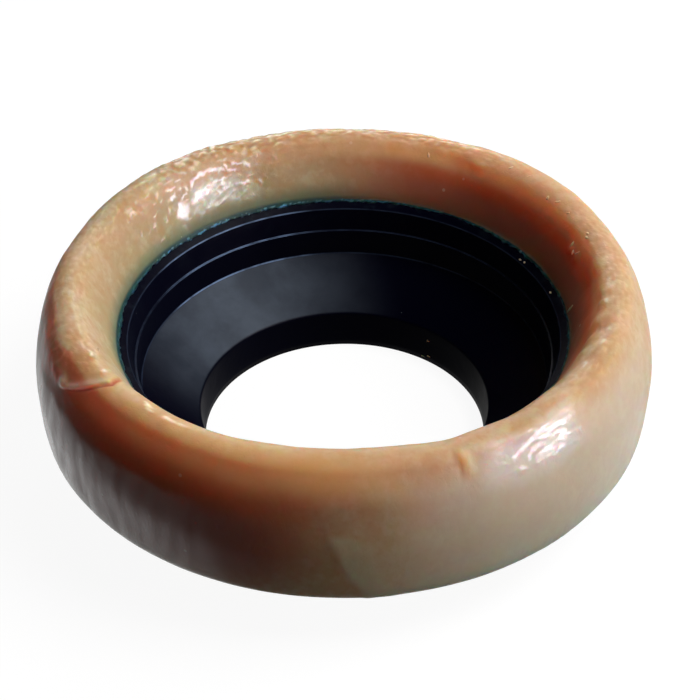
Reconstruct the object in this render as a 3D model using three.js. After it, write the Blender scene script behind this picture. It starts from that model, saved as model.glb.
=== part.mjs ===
import * as THREE from 'three';
import { mergeVertices } from 'three/addons/utils/BufferGeometryUtils.js';

// Toilet pan seal: a soft wax ring moulded round the out-turned lip of a plastic outlet horn.
// Millimetres, +Z up, standing on the horn's open end, with the origin on the axis at that end.
// Sections are drawn as radius and height, and turned about the axis. Bearings are in degrees,
// counter-clockwise from +X, seen from above.

// Outlet horn: its inside face, from the open end up to the lip that the wax holds
const boreRadius = 31.3;
const throatHeight = 8.6;
const throatFlare = 0.65;
const throatEdgeRound = 1.2;
const coneHeight = 8.8;
const coneRun = 12.5;
const coneFootRound = 0.8;
const cupHeight = 5.9;
const cupFlare = 0.55;
const ledgeWidth = 0.5;
const collarHeight = 5;
const collarFlare = 1.15;
const collarEdgeRound = 0.5;
const lipRampRun = 1.85;
const lipRampRise = 1.2;
const lipRampRound = 1.4;
const lipReach = 5;
const hornWall = 1.8;
const endChamfer = 0.4;

// Wax ring: its section, and how it sits on the horn
const waxRadius = 66.7;
const waxHeight = 31.4;
const waxStandoff = 12;
const bellyHeight = 11.3;
const bellySwell = 0.95;
const footRound = 2;
const crestRadius = 58.3;
const shoulderFullness = 1.69;
const mouthFullness = 1.82;
const toeSetback = 0.3;
const seatGap = 0.3;

// Slow unevenness of the crest: waves to the turn, where the first one starts, and their height
const crestWaves = [
  { count: 3, start: 20, rise: 0.22 },
  { count: 5, start: 200, rise: 0.15 },
  { count: 8, start: 95, rise: 0.11 },
];
const crestWaveReach = 12;

// Lap where the ends of the wax band were pressed together: a thick edge over a narrow crack
const lapBearing = 218;
const lapBowOutside = 0.14;
const lapBowInside = 0.02;
const lapPlace = 2.6;
const lapRise = 1;
const lapBack = 5;
const lapCrackDepth = 1.1;
const lapCrackWidth = 1.1;
const lapHalfLength = 6.5;

// Nick pressed across the front of the crest, with a squeezed-up lip on its right
const nickBearing = 290.8;
const nickPlace = 5;
const nickHalfLength = 3;
const nickDepth = 0.8;
const nickWidth = 0.9;
const nickLipPlace = 2.2;
const nickLipRise = 0.5;

// Flat smear of wax low on the front, with one sharp edge
const smearBearing = 270.3;
const smearPlace = 24;
const smearLean = 0.27;
const smearHalfHeight = 8;
const smearWidth = 8;
const smearRise = 0.3;

// Thumb marks and scars: bearing, place from the crest (outside is plus), half sizes and rise
const thumbMarks = [
  { bearing: 62, place: -4, across: 4.5, along: 3.5, rise: -0.5 },
  { bearing: 56, place: -3, across: 2.5, along: 2, rise: 0.4 },
  { bearing: 4, place: -8, across: 5, along: 4, rise: -0.7 },
  { bearing: 352, place: -5, across: 3.5, along: 3.5, rise: 0.5 },
  { bearing: 341, place: -4, across: 4, along: 4, rise: -0.7 },
  { bearing: 329, place: -2, across: 4, along: 3, rise: -0.5 },
  { bearing: 137, place: -7, across: 6, along: 5, rise: -0.4 },
  { bearing: 305, place: 7, across: 9, along: 5, rise: -0.35 },
];

// Roundness of the model: turns round the axis, and points on each curved stretch
const hornTurns = 90;
const waxTurns = 144;
const arcSteps = 4;
const sideSteps = 4;
const shoulderSteps = 9;
const mouthSteps = 9;
const closeUps = [
  { bearing: 213, spread: 9 },
  { bearing: 291, spread: 7 },
  { bearing: 62, spread: 8 },
];
const closeUpPull = 0.6;

// A corner of a section, with the radius of its round if it has one
function corner(radius, height, round = 0) {
  return { at: new THREE.Vector2(radius, height), round };
}

// Outline through the corners, with an arc at each round one
function roundedOutline(corners) {
  const points = [];
  corners.forEach(({ at, round }, index) => {
    if (round === 0) {
      points.push(at.clone());
      return;
    }
    const back = corners[index - 1].at.clone().sub(at).normalize();
    const ahead = corners[index + 1].at.clone().sub(at).normalize();
    const halfAngle = Math.acos(back.dot(ahead)) / 2;
    const centre = back.clone().add(ahead).setLength(round / Math.sin(halfAngle)).add(at);
    const start = back.clone().setLength(round / Math.tan(halfAngle)).add(at).sub(centre);
    const end = ahead.clone().setLength(round / Math.tan(halfAngle)).add(at).sub(centre);
    const clockwise = start.cross(end) < 0;
    const arc = new THREE.EllipseCurve(
      centre.x, centre.y, round, round, start.angle(), end.angle(), clockwise);
    points.push(...arc.getPoints(arcSteps));
  });
  return points;
}

// Outline moved to its right by a distance, with its corners kept sharp
function offsetOutline(points, distance) {
  const sides = points.slice(1).map((point, index) => {
    const way = point.clone().sub(points[index]).normalize();
    return new THREE.Vector2(way.y, -way.x);
  });
  return points.map((point, index) => {
    const before = sides[Math.max(index - 1, 0)];
    const after = sides[Math.min(index, sides.length - 1)];
    const mitre = before.clone().add(after);
    return mitre.multiplyScalar(distance / (1 + before.dot(after))).add(point);
  });
}

// Radius at which an outline that rises all the way passes a height
function radiusAtHeight(points, height) {
  const next = points.findIndex((point) => point.y > height);
  const low = points[Math.max(next - 1, 0)];
  const high = points[Math.max(next, 1)];
  const share = (height - low.y) / (high.y - low.y);
  return low.x + share * (high.x - low.x);
}

// Closed solid of revolution about +Z from a section outline that runs counter-clockwise
function turned(outline, turns) {
  const closed = [...outline, outline[0].clone()];
  return new THREE.LatheGeometry(closed, turns).rotateX(Math.PI / 2);
}

// One closed body with its shared vertices joined
function joined(geometry) {
  geometry.deleteAttribute('normal');
  geometry.deleteAttribute('uv');
  const body = mergeVertices(geometry);
  body.computeVertexNormals();
  return body;
}

// Inside corners of the horn, which its outside, and the wax that holds it, follow
const throatTop = corner(boreRadius + throatFlare, throatHeight, throatEdgeRound);
const coneTop = corner(throatTop.at.x + coneRun, throatTop.at.y + coneHeight, coneFootRound);
const ledgeInner = corner(coneTop.at.x + cupFlare, coneTop.at.y + cupHeight);
const ledgeOuter = corner(ledgeInner.at.x + ledgeWidth, ledgeInner.at.y);
const collarTop = corner(
  ledgeOuter.at.x + collarFlare, ledgeOuter.at.y + collarHeight, collarEdgeRound);
const rampTop = corner(collarTop.at.x + lipRampRun, collarTop.at.y + lipRampRise, lipRampRound);
const lipEdge = corner(rampTop.at.x + lipReach, rampTop.at.y);
const hornInside = [
  corner(boreRadius, 0), throatTop, coneTop, ledgeInner, ledgeOuter, collarTop, rampTop, lipEdge,
];

// Outlet horn: throat, cone, cup and collar of one wall, turned out over a ramp into a flat lip
function outletHorn() {
  const inside = roundedOutline(hornInside);
  const outside = offsetOutline(hornInside.map(({ at }) => at), hornWall);
  const endRadius = radiusAtHeight(outside, 0);
  const outline = [
    new THREE.Vector2(endRadius - endChamfer, 0),
    new THREE.Vector2(endRadius, endChamfer),
    ...outside.slice(1),
    ...inside.reverse(),
  ];
  const material = new THREE.MeshStandardMaterial({ color: 0x14151f, roughness: 0.42, metalness: 0 });
  const horn = new THREE.Mesh(joined(turned(outline, hornTurns)), material);
  horn.name = 'outlet_horn';
  return horn;
}

// Side of the wax that is in the open: foot, side, shoulder, crest and mouth, down to the toe
function waxOpenSide(toe) {
  const belly = waxStandoff + bellyHeight;
  const crest = waxStandoff + waxHeight;
  const swell = (height) => {
    const drop = (belly - height) / bellyHeight;
    return waxRadius - bellySwell * drop * drop;
  };
  const footCorner = swell(waxStandoff + footRound);
  const points = [];
  for (let step = 0; step <= arcSteps; step += 1) {
    const angle = (step / arcSteps - 1) * Math.PI / 2;
    points.push(new THREE.Vector2(
      footCorner - footRound + footRound * Math.cos(angle),
      waxStandoff + footRound + footRound * Math.sin(angle)));
  }
  for (let step = 1; step <= sideSteps; step += 1) {
    const height = waxStandoff + footRound + (bellyHeight - footRound) * step / sideSteps;
    points.push(new THREE.Vector2(swell(height), height));
  }
  for (let step = 1; step <= shoulderSteps; step += 1) {
    const angle = step / shoulderSteps * Math.PI / 2;
    points.push(new THREE.Vector2(
      crestRadius + (waxRadius - crestRadius) * Math.cos(angle) ** (2 / shoulderFullness),
      belly + (crest - belly) * Math.sin(angle) ** (2 / shoulderFullness)));
  }
  for (let step = 1; step <= mouthSteps; step += 1) {
    const share = step / mouthSteps;
    points.push(new THREE.Vector2(
      crestRadius + (toe.x - crestRadius) * share,
      crest + (toe.y - crest) * share ** mouthFullness));
  }
  return points;
}

// Side of the wax that the horn fills: under the toe, round the lip and down the horn's outside
function waxSeat(toe) {
  const faces = offsetOutline(hornInside.map(({ at }) => at), hornWall + seatGap);
  const lipUnder = faces.at(-1);
  const walls = faces.slice(0, -1);
  const lipSide = lipUnder.x + seatGap;
  return [
    new THREE.Vector2(lipSide, toe.y),
    new THREE.Vector2(lipSide, lipUnder.y),
    ...walls.filter((face) => face.y > waxStandoff).reverse(),
    new THREE.Vector2(radiusAtHeight(walls, waxStandoff), waxStandoff),
  ];
}

// Smooth hump of height 1 at 0, near 0 past its half width
function hump(distance, halfWidth) {
  return Math.exp(-((distance / halfWidth) ** 2));
}

// Like a hump, but flat across its middle
function plateau(distance, halfWidth) {
  return Math.exp(-((distance / halfWidth) ** 6));
}

// Signed turn from one bearing to another, the short way round
function turnFrom(bearing, other) {
  return ((bearing - other + 540) % 360) - 180;
}

// How far hand marks raise the wax at a bearing and a place along its section from the crest
function handWork(bearing, place, radius) {
  const millimetres = (turn) => THREE.MathUtils.degToRad(turn) * radius;
  let rise = 0;
  for (const wave of crestWaves) {
    const sway = Math.sin(THREE.MathUtils.degToRad(bearing * wave.count + wave.start));
    rise += wave.rise * sway * plateau(place, crestWaveReach);
  }

  const lapBow = place > 0 ? lapBowOutside : lapBowInside;
  const pastLap = millimetres(turnFrom(bearing, lapBearing - lapBow * place * place));
  const lapEdge = Math.exp(Math.min(pastLap, 0) / lapBack)
    * (1 - THREE.MathUtils.smoothstep(pastLap, -lapCrackWidth, lapCrackWidth));
  const lapCrack = hump(pastLap - lapCrackWidth, lapCrackWidth);
  rise += (lapRise * lapEdge - lapCrackDepth * lapCrack) * plateau(place - lapPlace, lapHalfLength);

  const pastNick = millimetres(turnFrom(bearing, nickBearing));
  const nickLip = hump(pastNick - nickLipPlace, nickWidth);
  rise += (nickLipRise * nickLip - nickDepth * hump(pastNick, nickWidth))
    * plateau(place - nickPlace, nickHalfLength);

  const belowSmear = place - smearPlace;
  const pastSmear = millimetres(turnFrom(bearing, smearBearing)) - smearLean * belowSmear;
  if (pastSmear > 0) {
    rise += smearRise * plateau(pastSmear, smearWidth) * plateau(belowSmear, smearHalfHeight);
  }

  for (const mark of thumbMarks) {
    const aside = millimetres(turnFrom(bearing, mark.bearing));
    rise += mark.rise * hump(aside, mark.across) * hump(place - mark.place, mark.along);
  }
  return rise;
}

// Bearing of a turn's step, with the steps drawn together where the marks are fine
function stepBearing(step) {
  const even = step * 360 / waxTurns;
  return closeUps.reduce((bearing, { bearing: middle, spread }) => {
    const turn = turnFrom(even, middle);
    return bearing - closeUpPull * turn * hump(turn, spread);
  }, even);
}

// Wax ring: turned from its section, then marked by hand on its open side
function waxRing() {
  const toe = new THREE.Vector2(
    rampTop.at.x + toeSetback, rampTop.at.y + seatGap);
  const open = waxOpenSide(toe);
  const outline = [...open, ...waxSeat(toe)];
  const places = [0];
  for (let index = 1; index < open.length; index += 1) {
    places.push(places[index - 1] + open[index].distanceTo(open[index - 1]));
  }
  const crestIndex = arcSteps + sideSteps + shoulderSteps;
  const outward = offsetOutline(open, 1).map((point, index) => point.sub(open[index]).normalize());

  const geometry = turned(outline, waxTurns);
  const position = geometry.getAttribute('position');
  const rows = outline.length + 1;
  const lastOpen = open.length - 1;
  for (let vertex = 0; vertex < position.count; vertex += 1) {
    const bearing = stepBearing(Math.floor(vertex / rows));
    const row = vertex % rows;
    const angle = THREE.MathUtils.degToRad(bearing);
    const spot = outline[row % outline.length].clone();
    if (row > 0 && row < lastOpen) {
      const place = places[crestIndex] - places[row];
      spot.addScaledVector(outward[row], handWork(bearing, place, spot.x));
    }
    position.setXYZ(vertex, spot.x * Math.cos(angle), spot.x * Math.sin(angle), spot.y);
  }
  const material = new THREE.MeshStandardMaterial({ color: 0xc8a07a, roughness: 0.32, metalness: 0 });
  const ring = new THREE.Mesh(joined(geometry), material);
  ring.name = 'wax_ring';
  return ring;
}

const seal = new THREE.Group();
seal.add(outletHorn(), waxRing());

export default seal;
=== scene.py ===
"""Toilet pan seal: a soft tan wax ring moulded round a black plastic outlet horn.

Shapes are drawn in millimetres as sections, radius and height, and turned about +Z, then set in metres.
Bearings are degrees, counter-clockwise from +X, seen from above. A place on the wax is its distance from
the crest along the section, plus towards the outside and minus into the mouth.
"""

import math

import bpy
import numpy as np
from mathutils import Matrix, Vector, noise


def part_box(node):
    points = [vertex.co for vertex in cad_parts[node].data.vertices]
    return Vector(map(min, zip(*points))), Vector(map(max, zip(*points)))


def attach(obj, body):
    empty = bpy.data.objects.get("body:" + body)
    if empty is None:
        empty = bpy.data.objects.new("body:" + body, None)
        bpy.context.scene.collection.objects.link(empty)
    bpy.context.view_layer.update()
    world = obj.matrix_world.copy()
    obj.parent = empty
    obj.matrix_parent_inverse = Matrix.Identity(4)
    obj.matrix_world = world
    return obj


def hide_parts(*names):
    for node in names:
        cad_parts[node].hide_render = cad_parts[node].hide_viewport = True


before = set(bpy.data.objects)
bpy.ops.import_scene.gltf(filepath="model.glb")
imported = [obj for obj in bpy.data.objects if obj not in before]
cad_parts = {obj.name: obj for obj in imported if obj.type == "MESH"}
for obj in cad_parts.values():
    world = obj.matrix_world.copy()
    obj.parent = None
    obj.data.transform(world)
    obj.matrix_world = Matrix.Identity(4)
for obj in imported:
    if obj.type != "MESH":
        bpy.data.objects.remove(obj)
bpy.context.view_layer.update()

MM = 0.001
HORN_HIGH = np.array(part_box("outlet_horn")[1]) / MM
WAX_LOW, WAX_HIGH = (np.array(corner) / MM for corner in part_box("wax_ring"))

# Outlet horn: its inside face from the open end up to the lip, its wall, its end, and its mesh's step
BORE_RADIUS = 31.3
THROAT_HEIGHT = 8.6
THROAT_FLARE = 0.65
THROAT_EDGE_ROUND = 0.9
CONE_HEIGHT = 8.8
CONE_RUN = 12.5
CONE_FOOT_ROUND = 0.35
CUP_HEIGHT = 5.9
CUP_FLARE = 0.55
LEDGE_WIDTH = 0.5
LEDGE_ROUND = 0.17
COLLAR_HEIGHT = 5.0
COLLAR_FLARE = 1.15
COLLAR_EDGE_ROUND = 0.3
LIP_RAMP_RUN = 1.85
LIP_RAMP_ROUND = 1.2
LIP_TOP = HORN_HIGH[2]
LIP_RADIUS = HORN_HIGH[1]
HORN_WALL = 1.8
END_ROUND = 0.4
HORN_STEP = 1.2

# Wax ring: its section, and how it sits on the horn
WAX_RADIUS = WAX_HIGH[0]
WAX_FOOT = WAX_LOW[2]
WAX_HEIGHT = 31.4
BELLY_HEIGHT = 11.3
BELLY_SWELL = 0.95
FOOT_ROUND = 2.0
CREST_RADIUS = 58.3
CREST_ROUND = 4.4
CREST_SETTLE = 0.58
CREST_LEAN = 0.14
SHOULDER_FULLNESS = 1.69
MOUTH_FULLNESS = 1.82
TOE_RADIUS = 48.8
TOE_LIFT = 0.45
SEAT_GAP = 0.3
GRIP_GAP = 0.03

# The camera of the photograph, for its 700 pixel frame
VIEW_ELEVATION = 38.053
VIEW_ROLL = -0.425
VIEW_DISTANCE = 418.3
VIEW_TARGET = (1.3255, 0.0, 22.65)
VIEW_LENS = 98.535


def hump(distance, half_width):
    """Smooth bump, 1 at its middle, about a third at its half width and near 0 at twice that."""
    return np.exp(-((distance / half_width) ** 2))


def plateau(distance, half_width):
    """Like a hump, but flat across its middle and steep at its half width."""
    return np.exp(-((distance / half_width) ** 6))


def eased(value, low, high):
    """0 below low, 1 above high, smooth between."""
    share = np.clip((value - low) / (high - low), 0.0, 1.0)
    return share * share * (3.0 - 2.0 * share)


def turn_from(bearing, other):
    """Signed turn from one bearing to another, the short way round."""
    return (bearing - other + 540.0) % 360.0 - 180.0


def grain(points, size, seed=0.0):
    """Smooth noise from about -1 to 1 at points in millimetres, with lumps of the given size."""
    flat = (points / size + seed).reshape(-1, 3)
    return np.array([noise.noise(point) for point in flat.tolist()]).reshape(points.shape[:-1])


def folds(points, size, seed, width=0.16):
    """Thin winding folds, 1 along their tops and 0 between them."""
    return np.exp(-((grain(points, size, seed) / width) ** 2))


def rounded_outline(corners, steps=8):
    """Outline through (radius, height, round) corners, with an arc at each round one."""
    places = np.array([corner[:2] for corner in corners], dtype=float)
    outline = []
    for index, (_, _, bend) in enumerate(corners):
        at = places[index]
        if not bend:
            outline.append(at)
            continue
        back = places[index - 1] - at
        ahead = places[index + 1] - at
        back /= np.linalg.norm(back)
        ahead /= np.linalg.norm(ahead)
        half_angle = math.acos(float(back @ ahead)) / 2.0
        centre = at + (back + ahead) / np.linalg.norm(back + ahead) * bend / math.sin(half_angle)
        start = at + back * bend / math.tan(half_angle) - centre
        end = at + ahead * bend / math.tan(half_angle) - centre
        first = math.atan2(start[1], start[0])
        turn = (math.atan2(end[1], end[0]) - first + math.pi) % (2.0 * math.pi) - math.pi
        for angle in first + turn * np.linspace(0.0, 1.0, steps + 1):
            outline.append(centre + bend * np.array([math.cos(angle), math.sin(angle)]))
    return np.array(outline)


def offset_outline(points, distance):
    """Outline moved to its right by a distance, with its corners kept sharp."""
    way = np.diff(points, axis=0)
    way /= np.linalg.norm(way, axis=1)[:, None]
    side = np.stack([way[:, 1], -way[:, 0]], axis=1)
    before = np.vstack([side[:1], side])
    after = np.vstack([side, side[-1:]])
    mitre = (before + after) / (1.0 + (before * after).sum(axis=1))[:, None]
    return points + distance * mitre


def length_along(outline):
    """How far along an outline each of its points is."""
    return np.concatenate([[0.0], np.cumsum(np.linalg.norm(np.diff(outline, axis=0), axis=1))])


def spaced(start, stop, spacing):
    """Values from start to stop whose steps follow a spacing that changes on the way."""
    fine = np.linspace(start, stop, 4000)
    count = np.concatenate([[0.0], np.cumsum(np.diff(fine) / spacing(fine[1:]))])
    return np.interp(np.linspace(0.0, count[-1], int(round(count[-1])) + 1), count, fine)


def around(bearings, radius, height):
    """Points at bearings, radii and heights, in millimetres."""
    angle = np.radians(bearings)
    return np.stack(np.broadcast_arrays(radius * np.cos(angle), radius * np.sin(angle), height), axis=-1)


def mesh_piece(name, points, faces):
    """A smooth piece from points in millimetres."""
    mesh = bpy.data.meshes.new(name)
    mesh.from_pydata((points * MM).tolist(), [], faces)
    mesh.shade_smooth()
    mesh.update()
    piece = bpy.data.objects.new(name, mesh)
    bpy.context.collection.objects.link(piece)
    return piece


def ring_piece(name, grid):
    """Closed ring from a grid of points, [turn step, section point, xyz]."""
    turns, rows = grid.shape[:2]
    index = np.arange(turns * rows).reshape(turns, rows)
    after = np.roll(index, -1, axis=0)
    faces = np.stack([index, after, np.roll(after, -1, axis=1), np.roll(index, -1, axis=1)], axis=-1)
    return mesh_piece(name, grid.reshape(-1, 3), faces.reshape(-1, 4).tolist())


def note_on_mesh(piece, name, values):
    """Keeps one number for each vertex, for the piece's material."""
    held = piece.data.attributes.new(name, "FLOAT", "POINT")
    held.data.foreach_set("value", np.asarray(values, dtype=np.float32).ravel())


def horn_corners():
    """Corners of the horn's inside face, from the open end to the lip's edge."""
    throat_top = (BORE_RADIUS + THROAT_FLARE, THROAT_HEIGHT, THROAT_EDGE_ROUND)
    cone_top = (throat_top[0] + CONE_RUN, throat_top[1] + CONE_HEIGHT, CONE_FOOT_ROUND)
    ledge_inner = (cone_top[0] + CUP_FLARE, cone_top[1] + CUP_HEIGHT, LEDGE_ROUND)
    ledge_outer = (ledge_inner[0] + LEDGE_WIDTH, ledge_inner[1], LEDGE_ROUND)
    collar_top = (ledge_outer[0] + COLLAR_FLARE, ledge_outer[1] + COLLAR_HEIGHT, COLLAR_EDGE_ROUND)
    ramp_top = (collar_top[0] + LIP_RAMP_RUN, LIP_TOP, LIP_RAMP_ROUND)
    return [(BORE_RADIUS, 0.0, 0.0), throat_top, cone_top, ledge_inner, ledge_outer, collar_top, ramp_top,
            (LIP_RADIUS, LIP_TOP, 0.0)]


HORN_CORNERS = horn_corners()
HORN_FACES = np.array([corner[:2] for corner in HORN_CORNERS])
HORN_INSIDE = rounded_outline(HORN_CORNERS)


def outlet_horn():
    """The black plastic moulding: throat, cone, cup, collar and out-turned lip."""
    outside = offset_outline(HORN_FACES, HORN_WALL)
    end_radius = np.interp(0.0, outside[:2, 1], outside[:2, 0])
    end_corners = [(BORE_RADIUS, 0.0, 0.0), (end_radius, 0.0, END_ROUND), (*outside[1], 0.0)]
    end = rounded_outline(end_corners, steps=4)
    outline = np.vstack([end[1:], outside[2:], HORN_INSIDE[::-1]])
    outline = np.vstack([outline, outline[:1]])
    section = [outline[0]]
    for start, stop in zip(outline, outline[1:]):
        steps = max(1, int(np.linalg.norm(stop - start) / HORN_STEP))
        section.extend(start + (stop - start) * share for share in np.linspace(0.0, 1.0, steps + 1)[1:])
    section = np.array(section[:-1])
    bearings = np.arange(0.0, 360.0, 1.0)[:, None]
    piece = ring_piece("black_outlet_horn", around(bearings, section[:, 0], section[:, 1]))
    # Where the edges' painted highlight is strong: the lit back-left side
    lit_side_shine = np.maximum(0.10, plateau(turn_from(bearings, BACK_PATCH), 24.0))
    note_on_mesh(piece, "lit_side_shine", np.broadcast_to(lit_side_shine, (len(bearings), len(section))))
    return piece


def rolled_crest(outline):
    """The outline with its crest rolled to a soft arc that runs out into both slopes."""
    middle = np.array([CREST_RADIUS - CREST_LEAN, WAX_FOOT + WAX_HEIGHT - CREST_SETTLE - CREST_ROUND])
    from_middle = outline - middle
    far = np.linalg.norm(from_middle, axis=1)[:, None]
    tilt = np.degrees(np.abs(np.arctan2(from_middle[:, :1], from_middle[:, 1:])))
    return outline + from_middle / far * (CREST_ROUND - far) * (1.0 - eased(tilt, 30.0, 70.0))


def wax_open_side():
    """Fine outline of the wax, from its foot over the crest to the mouth's toe, and its crest's index."""
    belly = WAX_FOOT + BELLY_HEIGHT
    crest = WAX_FOOT + WAX_HEIGHT

    def swell(height):
        return WAX_RADIUS - BELLY_SWELL * ((belly - height) / BELLY_HEIGHT) ** 2

    foot_angle = np.linspace(-math.pi / 2.0, 0.0, 12)
    foot = np.stack([swell(WAX_FOOT + FOOT_ROUND) - FOOT_ROUND + FOOT_ROUND * np.cos(foot_angle),
                     WAX_FOOT + FOOT_ROUND + FOOT_ROUND * np.sin(foot_angle)], axis=1)
    heights = np.linspace(WAX_FOOT + FOOT_ROUND, belly, 16)[1:]
    angle = np.linspace(0.0, math.pi / 2.0, 400)[1:]
    across = np.abs(np.cos(angle)) ** (2.0 / SHOULDER_FULLNESS)
    shoulder = np.stack([CREST_RADIUS + (WAX_RADIUS - CREST_RADIUS) * across,
                         belly + (crest - belly) * np.sin(angle) ** (2.0 / SHOULDER_FULLNESS)], axis=1)
    share = np.linspace(0.0, 1.0, 300)[1:]
    toe_drop = crest - (LIP_TOP + TOE_LIFT)
    mouth = np.stack([CREST_RADIUS + (TOE_RADIUS - CREST_RADIUS) * share,
                      crest - toe_drop * share ** MOUTH_FULLNESS], axis=1)
    outline = rolled_crest(np.vstack([foot, np.stack([swell(heights), heights], axis=1), shoulder, mouth]))
    return outline, int(np.argmax(outline[:, 1]))


# Bearings and places of the marks that a hand left in the wax
BACK_PATCH = 126.0
FRONT_PATCH = 306.0
LAP_BEARING = 218.2
NUB_BEARING = 207.3
NUB_PLACE = 7.8
NOTCH_BEARING = 290.9
NOTCH_PLACE = 4.4
SMEAR_BEARING = 269.3
SMEAR_PLACE = 24.0
MARKS_RADIUS = 60.0

# Stretches worked closely, where the turn's steps are drawn together: bearing, half width and step
CLOSE_WORK = (
    (BACK_PATCH, 17.5, 0.25),
    (FRONT_PATCH, 12.5, 0.25),
    (209.0, 13.0, 0.36),
    (148.0, 7.0, 0.36),
    (274.0, 8.0, 0.55),
    (92.0, 19.0, 0.42),
    (350.0, 30.0, 0.64),
    (35.0, 22.0, 0.64),
)
TURN_STEP = 0.9


def turn_spacing(bearing):
    """Degrees between the turn's steps at a bearing."""
    steps = []
    for middle, half_width, step in CLOSE_WORK:
        steps.append(TURN_STEP + (step - TURN_STEP) * plateau(turn_from(bearing, middle), half_width))
    return np.minimum.reduce(steps)


def row_spacing(place):
    """Millimetres between the wax's rows at a place."""
    return 0.33 + 0.55 * eased(place, 11.5, 15.0) + 0.25 * eased(-place, 13.0, 15.0)


# Slow waves of the crest: how many to the turn, where each starts, and its height
CREST_WAVES = ((3, 20.0, 0.22), (5, 200.0, 0.15), (8, 95.0, 0.11))
CREST_WAVE_REACH = 12.0

# Marks pressed or raised by fingers: bearing, place, half widths round the ring and along its section, rise
FINGER_MARKS = (
    (62.0, -4.0, 4.5, 3.5, -0.5),
    (55.5, -3.8, 1.8, 1.2, 0.4),
    (66.0, -2.4, 1.6, 1.4, 0.3),
    (4.0, -8.0, 5.0, 4.0, -0.7),
    (341.0, -4.0, 4.0, 4.0, -0.6),
    (329.0, -2.0, 4.0, 3.0, -0.4),
    (4.5, -4.1, 2.0, 2.2, 0.5),
    (354.5, -2.5, 2.0, 2.0, 0.4),
    (350.0, -3.2, 1.5, 1.6, 0.5),
    (344.5, -4.5, 2.0, 2.4, 0.55),
    (339.5, -5.3, 1.7, 2.0, 0.5),
    (332.5, -4.1, 2.0, 2.4, 0.5),
    (334.0, -0.9, 2.0, 1.6, 0.3),
    (17.2, -8.0, 1.3, 1.1, 0.5),
    (13.8, -8.2, 1.0, 1.0, 0.4),
    (22.0, -3.6, 1.5, 1.5, 0.3),
    (137.0, -7.0, 6.0, 5.0, -0.4),
    (136.0, -10.2, 2.9, 2.9, -0.3),
    (130.5, -7.6, 3.0, 2.2, -0.2),
    (305.5, 6.0, 10.0, 5.5, -0.5),
    (207.2, NUB_PLACE, 1.4, 1.0, 0.85),
    (214.6, -0.4, 1.9, 1.2, 0.3),
    (289.9, -1.4, 4.2, 2.6, -0.5),
    (8.0, -4.3, 42.0, 2.0, 0.35),
    (207.8, -0.8, 1.0, 0.8, 0.25),
    (201.5, 3.6, 2.4, 1.6, 0.3),
    (199.0, 5.6, 7.0, 3.6, 0.5),
    (203.0, 7.2, 3.6, 2.6, 0.45),
    (212.6, 9.0, 2.2, 0.8, 0.25),
)


def unrolled(bearing, place, stretch=1.0):
    """Points for a pattern that follows the ring, stretched along it."""
    return around(bearing, CREST_RADIUS / stretch, place)


def patch_spot(bearing, place, middle, at):
    """Millimetres round the ring and along the section from the middle of a patch."""
    round_ring = np.radians(turn_from(bearing, middle)) * CREST_RADIUS
    return np.stack([round_ring, place - at, np.zeros_like(place)], axis=-1)


def lap_fold(place, round_ring):
    """Rise, crack, painted glow and painted highlight of the lap, where the wax's ends were pressed
    together.
    """
    outside = np.maximum(place, 0.0)
    inside = np.minimum(place, 0.0)
    bow = np.radians(0.6 * outside + 0.07 * outside ** 2 - 0.4 * inside)
    past = round_ring(LAP_BEARING) + bow * MARKS_RADIUS
    reach = plateau(place - 2.6, 6.4)
    lip = np.exp(np.minimum(past, 0.0) / 2.4) * (1.0 - eased(past, -0.9, 0.2))
    crack = hump(past - 0.15, 0.48)
    # Painted highlight along the lap's lip and on the nub
    cream = hump(past + 1.2, 1.4) * reach * eased(place, -1.0, 3.0)
    cream = np.maximum(cream, hump(round_ring(NUB_BEARING), 1.7) * hump(place - NUB_PLACE, 1.0))
    uneven = 0.92 + 0.16 * np.sin(1.9 * place + 0.6) - 0.22 * hump(place - 0.5, 1.2)
    return (0.74 * uneven * lip - 0.40 * crack) * reach, crack * reach, hump(past - 0.5, 0.8) * reach, cream


def notch(place, round_ring):
    """Rise, groove, painted highlight on the lip and painted glow of a short notch in the crest, squeezed up
    on its right.
    """
    past = round_ring(NOTCH_BEARING) - 0.22 * (place - 5.0)
    reach = hump(place - NOTCH_PLACE, 2.9)
    groove = hump(past + 0.1, 0.55) * reach
    lip = hump(past - 1.5, 1.1) * reach
    turned = np.degrees(round_ring(NOTCH_BEARING) / MARKS_RADIUS)
    ridge_place = 1.9 + 2.9 * np.exp(-np.maximum(turned - 1.5, 0.0) / 5.0)
    ridge = hump(place - ridge_place, 1.5) * eased(turned, 0.5, 2.5) * (1.0 - eased(turned, 20.0, 30.0))
    # Painted highlight on the notch's lip
    pale = hump(past - 1.7, 0.8) * reach
    # Painted glow of light through the wax beside the notch
    glow = hump(past - 0.5, 0.9) * reach
    return 0.3 * lip + 0.04 * ridge - 0.24 * groove, groove, pale, glow


def low_smear(place, round_ring):
    """Rise, face, and the painted shade along its edge, of a flat smear of wax low on the front."""
    past = round_ring(SMEAR_BEARING) - 0.45 * (place - SMEAR_PLACE) + 0.45 * np.sin(0.55 * place)
    top = eased(place - 0.05 * (past - 3.4) ** 2, 15.8, 17.6)
    face = eased(past, -0.9, 1.1) * (1.0 - eased(past, 4.5, 8.5)) * top
    shoulder = hump(past - 0.9, 1.1) * top
    edge = hump(past + 0.5, 0.8) * top * eased(place, 18.5, 22.0)
    return 0.10 * face + 0.08 * shoulder, face, edge


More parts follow.
